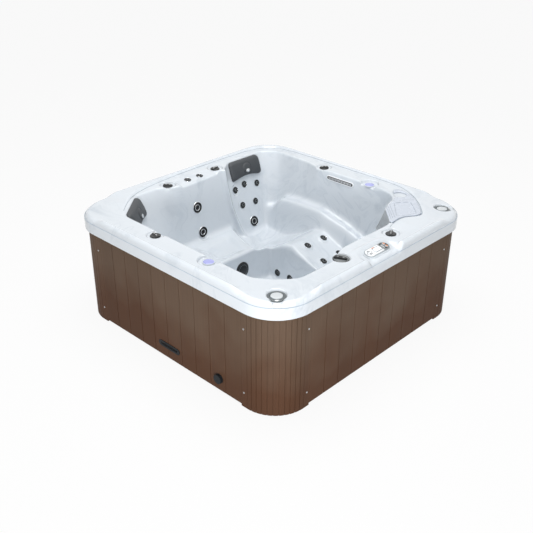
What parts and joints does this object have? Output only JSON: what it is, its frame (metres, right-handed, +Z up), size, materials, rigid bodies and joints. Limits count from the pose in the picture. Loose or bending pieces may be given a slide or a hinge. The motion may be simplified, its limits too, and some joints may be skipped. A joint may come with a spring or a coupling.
{
  "type": "hot tub",
  "caption": "Square hot tub with a moulded acrylic shell, lounger and seats, hydrotherapy jets, filter corner, rim controls, plank cabinet and inner pump, heater and plumbing.",
  "frame": {"origin": "centre of the base, on the ground", "axes": "+Z up, +X to the control panel side, -Y to the equipment side with the vent and the drain"},
  "size_m": [2.096, 2.096, 0.858],
  "materials": {
    "acrylic": "glossy, faint marbling",
    "pan_plastic": "matt, moulded",
    "timber": "sawn, treated",
    "plank_plastic": "wood-grain texture",
    "screw_steel": "bright",
    "black_plastic": "satin",
    "white_plastic": "smooth pipe plastic",
    "jet_trim": "black with bright rings",
    "jet_chrome": "polished with a black inner ring",
    "lens": "tinted, clear",
    "panel_grey": "satin",
    "panel_glass": "clear window over a pale display",
    "button_rubber": "soft",
    "speaker_plastic": "satin dome",
    "lid_plastic": "satin",
    "filter_paper": "pleated polyester",
    "pump_plastic": "glass-filled, matt",
    "motor_paint": "semi-gloss",
    "heater_steel": "brushed",
    "box_paint": "powder coat",
    "pillow_foam": "skinned foam, matt"
  },
  "bodies": {
    "tub": {"jet_bodies": "white_plastic", "valve_bodies": "white_plastic", "speaker_housings": "white_plastic", "cup_light_lenses": "lens", "waterfall_spout": "black_plastic", "suction_cover": "black_plastic", "acrylic_shell": "acrylic", "pillow_lounger": "pillow_foam", "pillow_corner": "pillow_foam", "filter_cartridge": "filter_paper", "filter_bucket": "white_plastic", "panel_case": "panel_grey", "panel_window": "panel_glass", "side_panel_left": "plank_plastic", "side_panel_back": "plank_plastic", "side_panel_right": "plank_plastic", "corner_trim": "plank_plastic", "cabinet_screws": "screw_steel", "base_pan": "pan_plastic", "timber_frame": "timber", "pump_casing": "pump_plastic", "pump_motor": "motor_paint", "control_box": "box_paint", "heater_tube": "heater_steel", "plumbing_pipes": "white_plastic"},
    "access_side": {"access_panel": "plank_plastic", "vent_grille": "black_plastic", "drain_valve": "black_plastic"},
    "large_jet_face_1_body": {"large_jet_face_1": "jet_chrome"},
    "large_jet_face_2_body": {"large_jet_face_2": "jet_chrome"},
    "large_jet_face_3_body": {"large_jet_face_3": "jet_chrome"},
    "small_jet_face_1_body": {"small_jet_face_1": "jet_trim"},
    "small_jet_face_2_body": {"small_jet_face_2": "jet_trim"},
    "small_jet_face_3_body": {"small_jet_face_3": "jet_trim"},
    "small_jet_face_4_body": {"small_jet_face_4": "jet_trim"},
    "small_jet_face_5_body": {"small_jet_face_5": "jet_trim"},
    "small_jet_face_6_body": {"small_jet_face_6": "jet_trim"},
    "small_jet_face_7_body": {"small_jet_face_7": "jet_trim"},
    "small_jet_face_8_body": {"small_jet_face_8": "jet_trim"},
    "small_jet_face_9_body": {"small_jet_face_9": "jet_trim"},
    "small_jet_face_10_body": {"small_jet_face_10": "jet_trim"},
    "small_jet_face_11_body": {"small_jet_face_11": "jet_trim"},
    "small_jet_face_12_body": {"small_jet_face_12": "jet_trim"},
    "small_jet_face_13_body": {"small_jet_face_13": "jet_trim"},
    "air_knob_1_body": {"air_knob_1": "black_plastic"},
    "air_knob_2_body": {"air_knob_2": "black_plastic"},
    "air_knob_3_body": {"air_knob_3": "black_plastic"},
    "air_knob_4_body": {"air_knob_4": "black_plastic"},
    "air_knob_5_body": {"air_knob_5": "black_plastic"},
    "diverter_handle_body": {"diverter_handle": "black_plastic"},
    "speaker_1_body": {"speaker_1": "speaker_plastic"},
    "speaker_2_body": {"speaker_2": "speaker_plastic"},
    "filter_lid_body": {"filter_lid": "lid_plastic"},
    "panel_button_1_body": {"panel_button_1": "button_rubber"},
    "panel_button_2_body": {"panel_button_2": "button_rubber"},
    "panel_button_3_body": {"panel_button_3": "button_rubber"},
    "panel_button_4_body": {"panel_button_4": "button_rubber"},
    "drain_cap_body": {"drain_cap": "black_plastic"},
    "pump_impeller_body": {"pump_impeller": "pump_plastic"}
  },
  "joints": [
    {"name": "access_side_pull", "type": "slide", "parent": "tub", "child": "access_side", "axis": [0, -1, 0], "range_m": [0, 0.3]},
    {"name": "large_jet_face_1_joint", "type": "hinge", "parent": "tub", "child": "large_jet_face_1_body", "pos_m": [-0.77559, -0.0504, 0.6138], "axis": [0.9907, 0.0296, 0.133], "range_deg": [0, 120]},
    {"name": "large_jet_face_2_joint", "type": "hinge", "parent": "tub", "child": "large_jet_face_2_body", "pos_m": [-0.74709, -0.0252, 0.3978], "axis": [0.9907, 0.0209, 0.1343], "range_deg": [0, 120]},
    {"name": "large_jet_face_3_joint", "type": "hinge", "parent": "tub", "child": "large_jet_face_3_body", "pos_m": [-0.73873, 0.5598, 0.306], "axis": [0.9451, -0.0042, 0.3267], "range_deg": [0, 120]},
    {"name": "small_jet_face_1_joint", "type": "hinge", "parent": "tub", "child": "small_jet_face_1_body", "pos_m": [-0.84155, 0.4365, 0.6012], "axis": [0.9448, -0.0054, 0.3276], "range_deg": [0, 120]},
    {"name": "small_jet_face_2_joint", "type": "hinge", "parent": "tub", "child": "small_jet_face_2_body", "pos_m": [-0.84839, 0.549, 0.6228], "axis": [0.9449, -0.0055, 0.3272], "range_deg": [0, 120]},
    {"name": "small_jet_face_3_joint", "type": "hinge", "parent": "tub", "child": "small_jet_face_3_body", "pos_m": [-0.83823, 0.6921, 0.5958], "axis": [0.9451, -0.0054, 0.3266], "range_deg": [0, 120]},
    {"name": "small_jet_face_4_joint", "type": "hinge", "parent": "tub", "child": "small_jet_face_4_body", "pos_m": [-0.79425, 0.4761, 0.4653], "axis": [0.9449, -0.0049, 0.3272], "range_deg": [0, 120]},
    {"name": "small_jet_face_5_joint", "type": "hinge", "parent": "tub", "child": "small_jet_face_5_body", "pos_m": [-0.79129, 0.6291, 0.459], "axis": [0.9451, -0.0048, 0.3267], "range_deg": [0, 120]},
    {"name": "small_jet_face_6_joint", "type": "hinge", "parent": "tub", "child": "small_jet_face_6_body", "pos_m": [-0.0036, 0.4266, 0.37116], "axis": [0.3858, 0, 0.9226], "range_deg": [0, 120]},
    {"name": "small_jet_face_7_joint", "type": "hinge", "parent": "tub", "child": "small_jet_face_7_body", "pos_m": [-0.0036, 0.621, 0.37116], "axis": [0.3858, 0, 0.9226], "range_deg": [0, 120]},
    {"name": "small_jet_face_8_joint", "type": "hinge", "parent": "tub", "child": "small_jet_face_8_body", "pos_m": [0.171, 0.4194, 0.29816], "axis": [0.3858, 0, 0.9226], "range_deg": [0, 120]},
    {"name": "small_jet_face_9_joint", "type": "hinge", "parent": "tub", "child": "small_jet_face_9_body", "pos_m": [0.171, 0.6138, 0.29816], "axis": [0.3858, 0, 0.9226], "range_deg": [0, 120]},
    {"name": "small_jet_face_10_joint", "type": "hinge", "parent": "tub", "child": "small_jet_face_10_body", "pos_m": [-0.864, -0.063, 0.82762], "axis": [0.1521, 0, 0.9884], "range_deg": [0, 120]},
    {"name": "small_jet_face_11_joint", "type": "hinge", "parent": "tub", "child": "small_jet_face_11_body", "pos_m": [-0.864, 0.063, 0.82762], "axis": [0.1521, 0, 0.9884], "range_deg": [0, 120]},
    {"name": "small_jet_face_12_joint", "type": "hinge", "parent": "tub", "child": "small_jet_face_12_body", "pos_m": [-0.18, 0.27014, 0.1215], "axis": [0, -0.996, 0.0896], "range_deg": [0, 120]},
    {"name": "small_jet_face_13_joint", "type": "hinge", "parent": "tub", "child": "small_jet_face_13_body", "pos_m": [-0.045, 0.27014, 0.1215], "axis": [0, -0.996, 0.0896], "range_deg": [0, 120]},
    {"name": "air_knob_1_joint", "type": "hinge", "parent": "tub", "child": "air_knob_1_body", "pos_m": [-0.8874, -0.2466, 0.824], "axis": [0, 0, 1], "range_deg": [0, 180]},
    {"name": "air_knob_2_joint", "type": "hinge", "parent": "tub", "child": "air_knob_2_body", "pos_m": [-0.8991, 0.2646, 0.824], "axis": [0, 0, 1], "range_deg": [0, 180]},
    {"name": "air_knob_3_joint", "type": "hinge", "parent": "tub", "child": "air_knob_3_body", "pos_m": [-0.252, -0.8811, 0.824], "axis": [0, 0, 1], "range_deg": [0, 180]},
    {"name": "air_knob_4_joint", "type": "hinge", "parent": "tub", "child": "air_knob_4_body", "pos_m": [-0.2709, 0.9171, 0.824], "axis": [0, 0, 1], "range_deg": [0, 180]},
    {"name": "air_knob_5_joint", "type": "hinge", "parent": "tub", "child": "air_knob_5_body", "pos_m": [0.873, 0.2709, 0.824], "axis": [0, 0, 1], "range_deg": [0, 180]},
    {"name": "diverter_handle_joint", "type": "hinge", "parent": "tub", "child": "diverter_handle_body", "pos_m": [0.8631, -0.2592, 0.824], "axis": [0, 0, 1], "range_deg": [-90, 90]},
    {"name": "speaker_1_joint", "type": "slide", "parent": "tub", "child": "speaker_1_body", "axis": [0, 0, 1], "range_m": [0, 0.05]},
    {"name": "speaker_2_joint", "type": "slide", "parent": "tub", "child": "speaker_2_body", "axis": [0, 0, 1], "range_m": [0, 0.05]},
    {"name": "filter_lid_joint", "type": "slide", "parent": "tub", "child": "filter_lid_body", "axis": [0, 0, 1], "range_m": [0, 0.26]},
    {"name": "panel_button_1_joint", "type": "slide", "parent": "tub", "child": "panel_button_1_body", "axis": [-0.2379, 0, -0.9713], "range_m": [0, 0.0015], "stiffness_N_per_m": 400},
    {"name": "panel_button_2_joint", "type": "slide", "parent": "tub", "child": "panel_button_2_body", "axis": [-0.2379, 0, -0.9713], "range_m": [0, 0.0015], "stiffness_N_per_m": 400},
    {"name": "panel_button_3_joint", "type": "slide", "parent": "tub", "child": "panel_button_3_body", "axis": [-0.2379, 0, -0.9713], "range_m": [0, 0.0015], "stiffness_N_per_m": 400},
    {"name": "panel_button_4_joint", "type": "slide", "parent": "tub", "child": "panel_button_4_body", "axis": [-0.2379, 0, -0.9713], "range_m": [0, 0.0015], "stiffness_N_per_m": 400},
    {"name": "drain_cap_joint", "type": "hinge", "parent": "access_side", "child": "drain_cap_body", "pos_m": [0.517, -1.036, 0.108], "axis": [0, -1, 0], "range_deg": [0, 180]},
    {"name": "pump_impeller_joint", "type": "hinge", "parent": "tub", "child": "pump_impeller_body", "pos_m": [-0.12, -0.65, 0.15], "axis": [1, 0, 0], "continuous": true}
  ]
}
